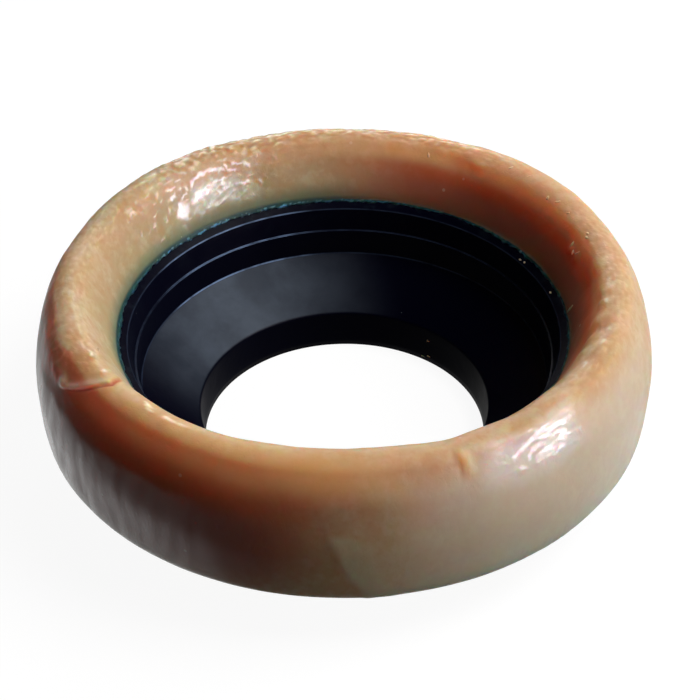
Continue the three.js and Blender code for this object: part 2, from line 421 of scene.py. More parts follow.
# Strokes of grease that shine: bearing, place, half length, half width, lean, ridge, wetness
GREASE_STROKES = (
    (135.5, -10.7, 1.9, 1.7, -60.0, -0.05, 1),
    (128.6, -8.8, 2.8, 0.95, -8.0, 0.03, 1),
    (131.2, -9.5, 1.5, 0.8, -25.0, 0.03, 0.8),
    (125.9, -8.2, 1.6, 0.5, 5.0, 0.05, 0.6),
    (122.7, -5.0, 1.6, 0.42, 17.0, 0.10, 1),
    (125.3, -4.6, 1.4, 0.32, -5.0, 0.10, 0.9),
    (128.1, -4.9, 1.9, 0.45, -5.0, 0.12, 1),
    (130.6, -5.9, 1.1, 0.42, -55.0, 0.10, 1),
    (120.3, -5.2, 0.9, 0.35, 70.0, 0.12, 1),
    (119.0, -6.1, 1.2, 0.28, 25.0, 0.10, 0.9),
    (117.0, -5.0, 1.7, 0.28, 12.0, 0.10, 0.8),
    (114.9, -5.9, 0.8, 0.45, 35.0, 0.10, 0.9),
    (111.5, -3.8, 0.9, 0.55, -20.0, 0.10, 0.9),
    (112.4, -10.4, 0.75, 0.45, 60.0, 0.10, 1),
    (116.6, -9.8, 1.4, 0.32, 0.0, 0.10, 1),
    (118.7, -9.6, 0.6, 0.35, 0.0, 0.10, 0.8),
    (123.2, -7.5, 2.2, 0.26, -8.0, 0.08, 0.9),
    (121.8, -9.6, 1.1, 0.5, -20.0, 0.08, 0.7),
    (124.0, -12.4, 2.4, 0.3, -25.0, 0.06, 0.6),
    (127.5, -12.0, 2, 0.28, -25.0, 0.06, 0.6),
    (121.0, -11.4, 1.6, 0.28, -28.0, 0.06, 0.5),
    (136.8, -6.9, 0.95, 0.5, -15.0, 0.10, 1),
    (134.0, -7.8, 1.1, 0.28, -20.0, 0.08, 0.8),
    (136.9, -4.9, 1.5, 0.28, 5.0, 0.08, 0.8),
    (133.8, -4.0, 0.9, 0.25, 0.0, 0.08, 0.7),
    (132.0, -2.7, 1.2, 0.3, 25.0, 0.08, 0.6),
    (133.3, -1.6, 0.8, 0.28, 30.0, 0.08, 0.6),
    (136.2, -3.2, 1.3, 0.22, 0.0, 0.06, 0.6),
    (141.2, -0.9, 1.2, 0.42, -15.0, 0.10, 0.8),
    (142.6, -1.9, 0.5, 0.3, 0.0, 0.08, 0.8),
    (138.6, -2.4, 1, 0.4, 20.0, 0.08, 0.4),
    (149.9, -4.5, 1.1, 0.5, -20.0, 0.10, 1),
    (152.1, -5.3, 0.6, 0.35, 0.0, 0.10, 0.9),
    (147.4, -5.6, 0.5, 0.3, 30.0, 0.08, 0.5),
    (150.6, -9.5, 0.75, 0.35, -60.0, 0.08, 0.6),
    (146.1, -10.2, 0.5, 0.4, 0.0, 0.08, 0.8),
    (144.7, -14.0, 0.9, 0.45, -10.0, 0.08, 0.9),
    (140.6, -6.1, 0.4, 0.3, 0.0, 0.08, 0.8),
    (142.4, -7.6, 0.4, 0.28, 0.0, 0.08, 0.6),
    (139.2, -9.4, 0.5, 0.3, 40.0, 0.08, 0.5),
    (156.8, -1.0, 0.6, 0.35, 0.0, 0.10, 0.7),
    (153.0, -1.2, 0.4, 0.28, 0.0, 0.08, 0.6),
    (115.5, -2.9, 1.6, 0.2, 5.0, 0.05, 0.5),
    (120.6, -3.4, 1.3, 0.2, 0.0, 0.05, 0.5),
    (107.6, -5.4, 0.9, 0.25, 80.0, 0.08, 0.6),
    (110.6, -13.0, 0.6, 0.35, 50.0, 0.08, 0.6),
    (304.8, 5.8, 2.3, 0.5, -22.0, 0.03, 0.95),
    (302.3, 6.7, 1.7, 0.45, -25.0, 0.03, 0.8),
    (309.3, 4.6, 3, 0.7, 2.0, 0.03, 0.95),
    (312.9, 5.3, 1.9, 0.8, 12.0, 0.03, 0.8),
    (305.0, 8.1, 1.1, 0.7, -40.0, 0.03, 0.8),
    (308.3, 8.8, 2.4, 0.8, -6.0, 0.03, 1),
    (312.9, 7.7, 1.8, 0.9, 45.0, 0.03, 0.95),
    (310.8, 10.2, 2.2, 0.6, -6.0, 0.03, 0.9),
    (306.8, 10.6, 1.7, 0.55, 0.0, 0.03, 0.85),
    (303.0, 10.2, 1.5, 0.5, 22.0, 0.03, 0.6),
    (307.7, 12.9, 1.3, 0.45, 0.0, 0.03, 0.6),
    (306.0, 3.3, 0.8, 0.35, -10.0, 0.03, 0.7),
    (317.1, 9.7, 1.3, 0.42, 88.0, 0.03, 0.95),
    (297.3, 6.3, 0.9, 0.35, 60.0, 0.03, 0.4),
    (299.4, 7.8, 1, 0.35, 40.0, 0.03, 0.4),
    (298.6, 5.0, 1.7, 0.3, -28.0, 0.03, 0.35),
    (297.8, 12.0, 1.2, 0.3, 65.0, 0.03, 0.3),
    (316.9, 4.8, 0.6, 0.4, 0.0, 0.03, 0.35),
    (204.9, -3.7, 1.6, 0.4, 40.0, 0.10, 0.9),
    (207.3, -1.0, 0.9, 0.3, 45.0, 0.08, 0.7),
    (213.7, -1.0, 1, 0.45, 60.0, 0.10, 0.8),
    (193.9, -1.8, 0.8, 0.4, 20.0, 0.08, 0.6),
    (228.0, -1.4, 1.3, 0.45, 40.0, 0.12, 0.9),
    (229.3, -0.2, 0.8, 0.4, 0.0, 0.10, 0.9),
    (234.3, -0.2, 1.6, 0.6, 5.0, 0.12, 1),
    (237.5, -0.3, 1.0, 0.4, 0.0, 0.10, 0.8),
    (350.2, -2.6, 1, 0.45, -30.0, 0.10, 0.7),
    (352.6, -3.6, 0.7, 0.35, -30.0, 0.08, 0.5),
)


def grease_strokes(round_ring, place, wobble):
    """Rise of the ridges under the shining strokes, and how wet they are."""
    rise = np.zeros_like(place)
    wet = np.zeros_like(place)
    for bearing, at, half_length, half_width, lean, ridge, wetness in GREASE_STROKES:
        ahead = round_ring(bearing) + 0.5 * wobble[..., 0]
        out = place - at + 0.45 * wobble[..., 1]
        cosine, sine = math.cos(math.radians(lean)), math.sin(math.radians(lean))
        along = cosine * ahead + sine * out
        across = cosine * out - sine * ahead
        stroke = plateau(along, half_length) * hump(across, half_width * 1.15)
        rise += ridge * stroke
        wet = np.maximum(wet, wetness * plateau(along, half_length) * plateau(across, half_width))
    return rise, wet


def greasy_patches(bearing, place):
    """Where the wax was dabbed, wiped or worked rough, each from 0 to 1, by the name of the patch."""
    leaning = place - 0.11 * turn_from(bearing, 329.0)
    return {
        "dabbed_back": plateau(turn_from(bearing, 125.0), 14.0) * plateau(place + 8.3, 5.6),
        "filmy_back": plateau(turn_from(bearing, 125.0), 8.0) * plateau(place + 10.4, 3.4),
        "wiped_front": plateau(turn_from(bearing, FRONT_PATCH), 10.5) * plateau(place - 7.4, 5.2),
        "filmy_front": plateau(turn_from(bearing, 310.6), 5.2) * plateau(place - 7.4, 4.1),
        "crest_back": plateau(turn_from(bearing, 96.0), 44.0) * plateau(place - 1.0, 3.6),
        "crest_left": plateau(turn_from(bearing, 180.0), 34.0) * plateau(place - 0.5, 5.0),
        "crest_right": plateau(turn_from(bearing, 350.0), 36.0) * plateau(place + 1.5, 4.0),
        "side_left": plateau(turn_from(bearing, 177.0), 25.0) * eased(place, 4.5, 9.0),
        "low_left": plateau(turn_from(bearing, 216.0), 31.0) * eased(place, 13.0, 15.0),
        "low_right": plateau(turn_from(bearing, 331.0), 17.0) * eased(leaning, 15.0, 15.7),
        "rumpled": plateau(turn_from(bearing, 197.0), 9.0) * plateau(place - 6.0, 4.6),
    }


def slanted(spot, along, across):
    """A patch's spots for a pattern that is drawn out along a slant."""
    return np.stack([along[0] * spot[..., 0] + along[1] * spot[..., 1],
                     across[0] * spot[..., 0] + across[1] * spot[..., 1], spot[..., 2]], axis=-1)


def wax_texture(bearing, place):
    """Patterns in the wax, by name, which its shape and its colours share."""
    spot = unrolled(bearing, place)
    long_spot = unrolled(bearing, place, 1.7)
    warp = np.stack([grain(spot, 5.0, seed) for seed in (41.0, 43.0, 47.0)], axis=-1)
    wiped = slanted(patch_spot(bearing, place, 305.0, 6.0), (0.30, -0.09), (0.28, 0.96))
    dabbed = slanted(patch_spot(bearing, place, 124.0, -10.0), (0.32, -0.12), (0.34, 0.92))
    upright = patch_spot(bearing, place, 197.0, 7.0) * np.array([1.0, 0.45, 1.0])
    creased = patch_spot(bearing, place, 309.0, 32.0) * np.array([1.0, 0.25, 1.0])
    pulled = patch_spot(bearing, place, 212.0, 20.0) * np.array([1.0, 0.22, 1.0])
    return {
        "warp": warp,
        "wobble": np.stack([grain(spot, 1.3, seed) for seed in (61.0, 67.0)], axis=-1),
        "lumps": grain(spot, 9.0, 3.0),
        "dimples": grain(spot, 4.0, 11.0),
        "winding": folds(long_spot + 0.8 * warp, 1.5, 9.0, 0.2),
        "fine": grain(long_spot + 0.6 * warp, 0.9, 17.0),
        "streaks": grain(wiped + 0.3 * warp, 0.8, 23.0),
        "dabs": grain(dabbed + 0.3 * warp, 0.7, 27.0),
        "rumple": folds(upright + 0.9 * warp, 2.6, 29.0, 0.2),
        "low_creases": folds(creased, 2.6, 7.0),
        "drag": grain(pulled + 0.5 * warp, 2.2, 51.0),
    }


def wax_notes(bearing, place, texture, patch, marks):
    """What the wax's material is told about each point, by name, each from 0 to 1."""
    fine, streaks, dabs, rumple = (texture[name] for name in ("fine", "streaks", "dabs", "rumple"))
    worked, speckled, rumpled = (patch[name] for name in ("worked", "speckled", "rumpled"))
    crest, crest_back = (patch[name] for name in ("crest", "crest_back"))
    # Painted shade: the front-left outside and the inner right of the mouth, which face away from the lamps
    shaded_front_left = plateau(turn_from(bearing, 237.0 - 0.4 * place), 33.0) * eased(place, 4.0, 9.0)
    shaded_inner_right = plateau(turn_from(bearing, 22.0), 62.0) * eased(-place, 5.2, 8.2)
    # Painted sheen on the front right
    sheen_front_right = plateau(turn_from(bearing, 312.0), 32.0) * eased(place, 2.5, 10.0)
    between_folds = rumpled * (1.0 - rumple)
    # Painted warm light: orange bands where light glows through the wax at the edge of its shade
    painted_warm_light = np.maximum.reduce([
        plateau(turn_from(bearing, 240.0), 36.0) * hump(place - 4.6, 4.4),
        plateau(turn_from(bearing, 25.0), 64.0) * hump(place + 5.0, 2.0),
        0.8 * plateau(turn_from(bearing, 178.0), 26.0) * hump(place - 6.5, 3.2)])
    film = np.maximum.reduce([
        0.85 * patch["filmy_front"] * eased(streaks, -0.55, 0.35),
        0.3 * patch["wiped_front"] * eased(streaks, 0.0, 0.4),
        0.5 * patch["filmy_back"] * eased(dabs, -0.1, 0.45)])
    glints = np.maximum.reduce([
        crest_back * eased(fine, 0.05, 0.35),
        crest * eased(fine, 0.28, 0.45),
        0.8 * speckled * eased(fine, 0.36, 0.5)])
    # Painted highlights: cream specks standing for glints on the crest and the front-left strokes
    specks = np.maximum(0.2 * crest_back * eased(fine, 0.0, 0.3) + 0.4 * crest * eased(fine, 0.12, 0.4)
                        + 0.12 * speckled * eased(fine, 0.2, 0.45),
                        0.75 * marks["wet_strokes"] * plateau(turn_from(bearing, 217.0), 24.0))
    low_film = patch["low_left"] * np.clip(0.58 + 0.38 * texture["drag"], 0.0, 1.0)
    notes = {
        # Painted shade in the lap's crack, the notch's groove and along the smear's edge
        "crease": marks["lap_crack"] + 0.12 * marks["smear_edge"] + 0.5 * marks["notch_groove"],
        # Painted glow of light through thin wax beside the lap's crack, at the notch and between folds; the
        # scar takes the same orange tint
        "glow": 0.8 * marks["lap_glow"] + 0.1 * between_folds + 0.8 * marks["scar"],
        "wet": np.maximum.reduce([
            marks["wet_strokes"], film, 0.9 * glints, 0.12 * worked, low_film, 0.75 * marks["lap_cream"],
            0.3 * patch["side_left"], 0.2 * patch["low_right"]]),
        "smeared": marks["smear_face"],
        # Painted shade, deep red and deep brown, on the sides that face away from the lamps
        "painted_red_shade": np.maximum(0.85 * shaded_front_left * (1.0 - eased(place, 24.0, 34.0)), 0.9 * shaded_inner_right),
        "painted_deep_shade": np.maximum(shaded_front_left * eased(place, 11.0, 18.0) * (1.0 - eased(place, 26.0, 36.0)),
                            0.7 * shaded_inner_right * eased(-place, 8.5, 12.0)),
        # Painted highlight, lilac white, on the greasy strokes and patches
        "painted_gloss": np.maximum.reduce([
            0.9 * marks["wet_strokes"] * worked, 0.8 * film, 0.6 * patch["filmy_front"],
            0.35 * patch["wiped_front"]]),
        # Painted highlights: the lap's lip, the nub, the notch's lip, the tops of folds and glints
        "cream": 1.3 * marks["lap_cream"] + 0.45 * marks["notch_lip"] + 0.35 * rumpled * rumple + specks,
        # Painted warm light, also beside the notch
        "painted_warm_light": painted_warm_light + 0.75 * marks["notch_glow"],
        # Painted shade in the crest's hollows and between folds
        "pit_shade": crest * eased(-fine, 0.0, 0.35) + 0.3 * between_folds,
        # Partly a greasy film, partly painted sheen, on the patches, the front right and the left and lower
        # left sides
        "sheen_and_film": (np.maximum(patch["filmy_back"], 0.8 * patch["wiped_front"]) + 0.8 * sheen_front_right
                  + 0.5 * patch["low_left"] + 0.7 * patch["side_left"] + 0.4 * rumpled),
    }
    return {name: np.clip(values, 0.0, 1.0) for name, values in notes.items()}


def wax_surface(bearing, place, radius):
    """How far the wax stands out from its plain section, and the notes its material needs."""
    def round_ring(middle):
        return np.radians(turn_from(bearing, middle)) * radius

    texture = wax_texture(bearing, place)
    fine, warp, wobble = texture["fine"], texture["warp"], texture["wobble"]
    patch = greasy_patches(bearing + 1.6 * warp[..., 0] + 0.7 * wobble[..., 0],
                           place + 1.3 * warp[..., 1] + 0.6 * wobble[..., 1])
    patch["worked"] = np.maximum(patch["dabbed_back"], patch["wiped_front"])
    patch["crest"] = np.maximum.reduce([
        patch["crest_back"], 0.6 * patch["crest_left"], 0.6 * patch["crest_right"]])
    patch["speckled"] = plateau(turn_from(bearing, 134.0), 33.0) * plateau(place + 6.0, 8.5)

    marks = {"scar": hump(round_ring(62.5), 2.4) * hump(place + 3.4, 1.5)}
    lap, marks["lap_crack"], marks["lap_glow"], marks["lap_cream"] = lap_fold(place, round_ring)
    nick, marks["notch_groove"], marks["notch_lip"], marks["notch_glow"] = notch(place, round_ring)
    smear, marks["smear_face"], marks["smear_edge"] = low_smear(place, round_ring)
    strokes, marks["wet_strokes"] = grease_strokes(round_ring, place, wobble)

    waves = sum(height * np.sin(np.radians(bearing * count + start)) for count, start, height in CREST_WAVES)
    rise = waves * plateau(place, CREST_WAVE_REACH) + lap + nick + smear + strokes
    for middle, at, across, along, height in FINGER_MARKS:
        rise += height * hump(round_ring(middle), across) * hump(place - at, along)
    handled = plateau(place + 1.0, 14.0)
    rise += (0.06 + 0.16 * handled) * texture["lumps"]
    rise += (0.02 + 0.10 * handled) * texture["dimples"]
    rise += patch["worked"] * (0.05 * texture["winding"] + 0.035 * fine)
    rise += patch["crest"] * (0.08 * texture["winding"] + 0.08 * fine - 0.03)
    rise += (0.2 * patch["crest_back"] + 0.05 * patch["speckled"]) * fine
    rise += 0.04 * patch["wiped_front"] * texture["streaks"]
    rise += 0.06 * patch["filmy_back"] * texture["dabs"]
    rise += patch["rumpled"] * (0.16 * texture["rumple"] - 0.04)
    rise += 0.06 * patch["low_left"] * texture["drag"] - 0.12 * patch["low_right"]
    by_foot = plateau(turn_from(bearing, 309.0), 6.5) * plateau(place - 32.0, 2.6)
    rise -= 0.05 * by_foot * texture["low_creases"]
    return rise, wax_notes(bearing, place, texture, patch, marks)


def wax_seat(foot_radius, feather_radius):
    """Hidden side of the wax, under its toe, round the lip and down the horn: radii and heights.

    A height of None lies on the lip's face.
    """
    walls = offset_outline(HORN_FACES, HORN_WALL + SEAT_GAP)
    lip_side = LIP_RADIUS + SEAT_GAP
    crossing = np.interp(WAX_FOOT, walls[:, 1], walls[:, 0])
    seat = [(feather_radius + 0.3, None), (TOE_RADIUS + 0.6, LIP_TOP + GRIP_GAP),
            (lip_side, LIP_TOP + GRIP_GAP), (lip_side, walls[-1, 1])]
    seat += [tuple(wall) for wall in walls[-2::-1] if wall[1] > WAX_FOOT]
    seat += [(radius, WAX_FOOT) for radius in np.linspace(crossing, foot_radius, 6)[:-1]]
    return seat


def lip_surface(radius):
    """Height of the horn's inside face at radii on its collar's edge, ramp and lip."""
    above = HORN_INSIDE[HORN_INSIDE[:, 1] > LIP_TOP - 4.0]
    return np.interp(radius, above[:, 0], above[:, 1])


def wax_ring():
    """The wax: turned from its section, worked by hand on its open side, and feathered on the plastic.

    Gives the piece, the bearing and place of each point of its open side, and their radii and heights.
    """
    fine, crest_index = wax_open_side()
    along = length_along(fine)
    places = spaced(along[crest_index] - along[-1], along[crest_index], row_spacing)[::-1]
    at_places = along[crest_index] - places
    section = np.stack([np.interp(at_places, along, fine[:, axis]) for axis in (0, 1)], axis=1)
    outward = offset_outline(section, 1.0) - section
    outward /= np.linalg.norm(outward, axis=1)[:, None]
    bearings = spaced(0.0, 360.0, turn_spacing)[:-1]

    bearing, place = np.meshgrid(bearings, places, indexing="ij")
    rise, notes = wax_surface(bearing, place, np.broadcast_to(section[:, 0], bearing.shape))
    rise = rise * eased(place - places[-1], 0.0, 2.5) * eased(places[0] - place, 0.0, 1.5)
    belly_room = 0.16 * plateau(place - 20.0, 9.0)
    open_side = section + outward * (rise - belly_room)[..., None]

    rim = around(bearings, TOE_RADIUS, 0.0)
    ragged = 0.55 + 0.35 * grain(rim, 5.0, 31.0) + 0.45 * grain(rim, 1.3, 37.0)
    feather_radius = TOE_RADIUS - np.clip(ragged, 0.12, 1.3)
    toe = open_side[:, -1]
    feather = np.zeros((len(bearings), 3, 2))
    for row, share in enumerate((0.4, 0.8, 1.0)):
        feather[:, row, 0] = toe[:, 0] + (feather_radius - toe[:, 0]) * share
        on_plastic = lip_surface(feather[:, row, 0]) + GRIP_GAP
        feather[:, row, 1] = on_plastic + (toe[:, 1] - on_plastic) * (1.0 - share) ** 0.8
    seat = wax_seat(section[0, 0], feather_radius)
    hidden = np.zeros((len(bearings), len(seat), 2))
    for row, (seat_radius, seat_height) in enumerate(seat):
        hidden[:, row, 0] = seat_radius
        on_lip = lip_surface(hidden[:, row, 0]) + GRIP_GAP
        hidden[:, row, 1] = on_lip if seat_height is None else seat_height
    whole = np.concatenate([open_side, feather, hidden], axis=1)
    piece = ring_piece("tan_wax_ring", around(bearings[:, None], whole[..., 0], whole[..., 1]))

    rows = len(places)
    notes["from_toe"] = place - places[-1]
    notes = {name: np.pad(values, ((0, 0), (0, whole.shape[1] - rows))) for name, values in notes.items()}
    notes["from_toe"][:, -len(seat):] = places[0] - places[-1]
    # Painted glints along the feather edge, strongest on the lit back-left side
    shining = np.maximum(0.25, plateau(turn_from(bearings, BACK_PATCH), 26.0))
    notes["edge_glints"] = np.zeros(whole.shape[:2])
    notes["edge_glints"][:, rows] = 0.7 * shining * eased(grain(rim, 0.8, 75.0), 0.15, 0.4)
    notes["edge_glints"][:, rows + 1] = shining * eased(grain(rim, 1.1, 71.0), 0.0, 0.25)
    notes["edge_glints"][:, rows + 2] = shining * eased(grain(rim, 0.9, 73.0), 0.1, 0.35)
    for name, values in notes.items():
        note_on_mesh(piece, name, values)
    return piece, np.stack([bearing, place], axis=-1), open_side


# Loose slivers and chips of wax: bearing, place, length, width, how far it stands up, and its lean
SLIVERS = (
    (47.2, -1.7, 1.3, 0.44, 0.15, 60.0),
    (41.5, -1.4, 1.6, 0.38, 0.15, 55.0),
    (33.2, -3.1, 1.1, 0.75, 0.24, 100.0),
    (30.2, -2.7, 1.5, 0.56, 0.21, 45.0),
    (25.5, -2.8, 0.9, 0.5, 0.18, 60.0),
    (16.5, -2.5, 0.9, 0.62, 0.21, 20.0),
    (15.5, -3.1, 1.2, 0.62, 0.21, 15.0),
    (18.0, -7.0, 1.6, 0.5, 0.34, 95.0),
    (14.3, -6.9, 1.5, 0.5, 0.34, 60.0),
    (16.0, -7.8, 1.2, 0.4, 0.28, 120.0),
    (3.7, -15.4, 2.9, 0.69, 0.18, 75.0),
    (68.5, -4.5, 1.2, 0.5, 0.18, 100.0),
)


def chip_shape(length, width, lift, seed):
    """A thin ragged chip, lying flat, as rings of points and their faces."""
    steps, sides = 7, 12
    points = []
    for tilt in np.linspace(0.0, math.pi, steps):
        for angle in np.arange(sides) * 2.0 * math.pi / sides:
            rim = math.sin(tilt)
            spot = Vector((math.cos(tilt), rim * math.cos(angle), rim * math.sin(angle)))
            ragged = 1.0 + 0.35 * noise.noise(spot * 1.7 + Vector((seed, 0.0, 0.0)))
            points.append(np.array(spot) * ragged * np.array([length, width, lift]) / 2.0)
    faces = []
    for step in range(steps - 1):
        for side in range(sides):
            here, beside = step * sides + side, step * sides + (side + 1) % sides
            faces.append((here, beside, beside + sides, here + sides))
    return np.array(points), faces


def chips_piece(name, chips):
    """One piece of many chips: each its shape's sizes, its three ways as rows, its centre and its seed."""
    points, faces = [], []
    for sizes, ways, centre, seed in chips:
        shape, sides = chip_shape(*sizes, seed)
        start = sum(len(block) for block in points)
        points.append(shape @ ways + centre)
        faces.extend(tuple(start + index for index in side) for side in sides)
    return mesh_piece(name, np.vstack(points), faces)


def wax_slivers(spots, open_side):
    """The loose chips, each set down on the worked wax where it lies."""
    chips = []
    for seed, (middle, at, length, width, lift, lean) in enumerate(SLIVERS):
        off = np.abs(turn_from(spots[..., 0], middle)) + np.abs(spots[..., 1] - at)
        turn_index, row = np.unravel_index(np.argmin(off), off.shape)
        radius, height = open_side[turn_index, row]
        slope = open_side[turn_index, row + 1] - open_side[turn_index, row - 1]
        slope /= np.linalg.norm(slope)
        angle = math.radians(middle)
        out = np.array([math.cos(angle), math.sin(angle), 0.0])
        beside = np.array([-math.sin(angle), math.cos(angle), 0.0])
        inward = out * slope[0] + np.array([0.0, 0.0, slope[1]])
        up = out * slope[1] + np.array([0.0, 0.0, -slope[0]])
        turned = math.cos(math.radians(lean)) * beside + math.sin(math.radians(lean)) * inward
        chips.append(((length, width, lift), np.stack([turned, np.cross(up, turned), up]),
                      out * radius + [0.0, 0.0, height] + up * lift * 0.3, seed * 5.3))
    return chips_piece("wax_slivers", chips)


# Crumbs of wax stuck to the plastic: bearing, radius, height, length, width; and how far each stands up
CRUMBS = (
    (15.0, 47.35, 28.8, 0.7, 0.4),
    (30.2, 47.35, 28.8, 0.5, 0.5),
    (32.0, 47.2, 28.7, 0.8, 0.3),
    (51.8, 31.75, 5.6, 0.8, 0.4),
    (51.0, 31.45, 1.4, 1.2, 0.5),
    (54.0, 31.42, 0.9, 0.9, 0.4),
)
CRUMB_LIFT = 0.45


def wax_crumbs():
    """Small crumbs of wax that stick to the horn's rim, ledge and throat."""
    chips = []
    for seed, (bearing, radius, height, length, width) in enumerate(CRUMBS):
        angle = math.radians(bearing)
        ways = np.array([[-math.sin(angle), math.cos(angle), 0.0], [0.0, 0.0, 1.0],
                         [-math.cos(angle), -math.sin(angle), 0.0]])
        centre = np.array([math.cos(angle) * radius, math.sin(angle) * radius, height])
        chips.append(((length, width, CRUMB_LIFT), ways, centre, 50.0 + seed * 3.7))
    return chips_piece("wax_crumbs", chips)


class Nodes:
    """Places nodes in a material's or group's tree, and links them as it goes."""

    def __init__(self, tree):
        self.tree = tree

    def add(self, kind, label, settings=None, **inputs):
        """A node with its settings and what it is fed, by the names that feed takes."""
        node = self.tree.nodes.new(kind)
        node.label = label
        for name, value in (settings or {}).items():
            setattr(node, name, value)
        for name, value in inputs.items():
            self.feed(node, name, value)
        return node

    def feed(self, node, name, value):
        """Links or sets one input: _2 is the third, and Base_Color is the one named Base Color."""
        socket = node.inputs[int(name[1:])] if name[0] == "_" else node.inputs[name.replace("_", " ")]
        if isinstance(value, bpy.types.NodeSocket):
            self.tree.links.new(value, socket)
        else:
            socket.default_value = value

    def maths(self, operation, first, second=0.0, third=0.0, label=""):
        node = self.add("ShaderNodeMath", label or operation.lower(), {"operation": operation},
                        _0=first, _1=second, _2=third)
        return node.outputs[0]

    def both(self, first, second):
        """Two masks multiplied, so that it is high only where both are."""
        return self.maths("MULTIPLY", first, second)

    def without(self, value):
        return self.maths("SUBTRACT", 1.0, value, label="the rest")

    def band(self, value, low, high, label=""):
        """0 below low, 1 above high, smooth between."""
        node = self.add("ShaderNodeMapRange", label or "band", {"interpolation_type": "SMOOTHSTEP"},
                        Value=value, From_Min=low, From_Max=high)
        return node.outputs["Result"]

    def blend(self, share, first, second, label):
        node = self.add("ShaderNodeMix", label, {"data_type": "RGBA"}, _0=share, _6=first, _7=second)
        return node.outputs[2]

    def held(self, name):
        """A note that the mesh holds for each vertex."""
        return self.add("ShaderNodeAttribute", name, {"attribute_name": name}).outputs["Fac"]

    def placed(self, group, label, **inputs):
        """A group set in a material with its own values; gives its one output."""
        return self.add("ShaderNodeGroup", label, {"node_tree": group}, **inputs).outputs[0]


def new_group(name, takes, gives):
    """Shader group with named sockets, its nodes, and its two ends."""
    tree = bpy.data.node_groups.new(name, "ShaderNodeTree")
    for socket, kind, value in takes:
        tree.interface.new_socket(name=socket, in_out="INPUT", socket_type=kind).default_value = value
    tree.interface.new_socket(name=gives, in_out="OUTPUT", socket_type="NodeSocketFloat")
    nodes = Nodes(tree)
    return tree, nodes, nodes.add("NodeGroupInput", "in").outputs, nodes.add("NodeGroupOutput", "out")


NUMBER = "NodeSocketFloat"
WAY = "NodeSocketVector"
ON_THE_SPOT = [("Shift", WAY, (0.0, 0.0, 0.0)), ("Stretch", WAY, (1.0, 1.0, 1.0))]


def pattern_spot(nodes, taken):
    """Spot on the piece, moved and stretched as a group's inputs ask."""
    at = nodes.add("ShaderNodeTexCoord", "on the piece").outputs["Object"]
    moved = nodes.add("ShaderNodeVectorMath", "shift", {"operation": "ADD"}, _0=at, _1=taken["Shift"])
    return nodes.add("ShaderNodeVectorMath", "stretch", {"operation": "DIVIDE"},
                     _0=moved.outputs[0], _1=taken["Stretch"]).outputs[0]


def cloudy_group():
    """Soft patches from 0 to 1 over the piece, of a size, stretch and sharpness."""
    tree, nodes, taken, given = new_group("cloudy patches", [
        ("Size", NUMBER, 0.01), ("Detail", NUMBER, 3.0), ("Low", NUMBER, 0.4), ("High", NUMBER, 0.6),
        *ON_THE_SPOT], "Mask")
    cloud = nodes.add("ShaderNodeTexNoise", "cloud", Vector=pattern_spot(nodes, taken),
                      Scale=nodes.maths("DIVIDE", 1.0, taken["Size"]), Detail=taken["Detail"],
                      Roughness=0.55)
    nodes.feed(given, "Mask", nodes.band(cloud.outputs["Fac"], taken["Low"], taken["High"]))
    return tree


def fleck_group():
    """Small scattered flecks, from 0 to 1, of a spacing and size."""
    tree, nodes, taken, given = new_group("stuck flecks", [
        ("Spacing", NUMBER, 0.004), ("Fleck", NUMBER, 0.12), ("Share", NUMBER, 0.3), *ON_THE_SPOT], "Mask")
    cells = nodes.add("ShaderNodeTexVoronoi", "flecks", Vector=pattern_spot(nodes, taken),
                      Scale=nodes.maths("DIVIDE", 1.0, taken["Spacing"]))
    near = nodes.maths("LESS_THAN", cells.outputs["Distance"], taken["Fleck"])
    chosen = nodes.add("ShaderNodeSeparateColor", "which", Color=cells.outputs["Color"]).outputs[0]
    nodes.feed(given, "Mask", nodes.both(near, nodes.maths("LESS_THAN", chosen, taken["Share"])))
    return tree


def crinkle_group():
    """Height of fine crinkles and tooth, for a bump."""
    tree, nodes, taken, given = new_group("fine crinkle", [
        ("Size", NUMBER, 0.0015), ("Sharpness", NUMBER, 0.5), *ON_THE_SPOT], "Height")
    soft = nodes.add("ShaderNodeTexNoise", "soft", Vector=pattern_spot(nodes, taken),
                     Scale=nodes.maths("DIVIDE", 1.0, taken["Size"]), Detail=3.0, Roughness=0.5,
                     Distortion=0.6).outputs["Fac"]
    off_centre = nodes.maths("ABSOLUTE", nodes.maths("SUBTRACT", soft, 0.5))
    crease = nodes.maths("MULTIPLY_ADD", off_centre, -2.0, 0.5)
    height = nodes.add("ShaderNodeMix", "soft or creased", {"data_type": "FLOAT"},
                       _0=taken["Sharpness"], _2=soft, _3=crease).outputs[0]
    nodes.feed(given, "Height", height)
    return tree


CLOUDY = cloudy_group()
FLECKS = fleck_group()
CRINKLE = crinkle_group()


def new_material(name):
    """A material that is still empty, its nodes, and its output."""
    material = bpy.data.materials.new(name)
    material.use_nodes = True
    material.node_tree.nodes.clear()
    nodes = Nodes(material.node_tree)
    return material, nodes, nodes.add("ShaderNodeOutputMaterial", "surface")


# Wax colours, linear
WAX_TAN = (0.56, 0.375, 0.21, 1.0)
WAX_PALE = (0.63, 0.465, 0.30, 1.0)
WAX_OCHRE = (0.50, 0.285, 0.13, 1.0)
# Painted shade: red and deep brown for the sides that face away from the lamps
WAX_SHADE_RED = (0.60, 0.12, 0.045, 1.0)
WAX_SHADE_BROWN = (0.42, 0.15, 0.11, 1.0)
# Painted glow of light through thin wax
WAX_PAINTED_GLOW = (0.74, 0.40, 0.12, 1.0)
# Painted warm light, orange
WAX_WARM_LIGHT = (0.76, 0.52, 0.20, 1.0)
# Painted shade in hollows
WAX_PIT_SHADE = (0.46, 0.23, 0.085, 1.0)
# Painted highlight, cream
WAX_HIGHLIGHT_CREAM = (0.96, 0.75, 0.49, 1.0)
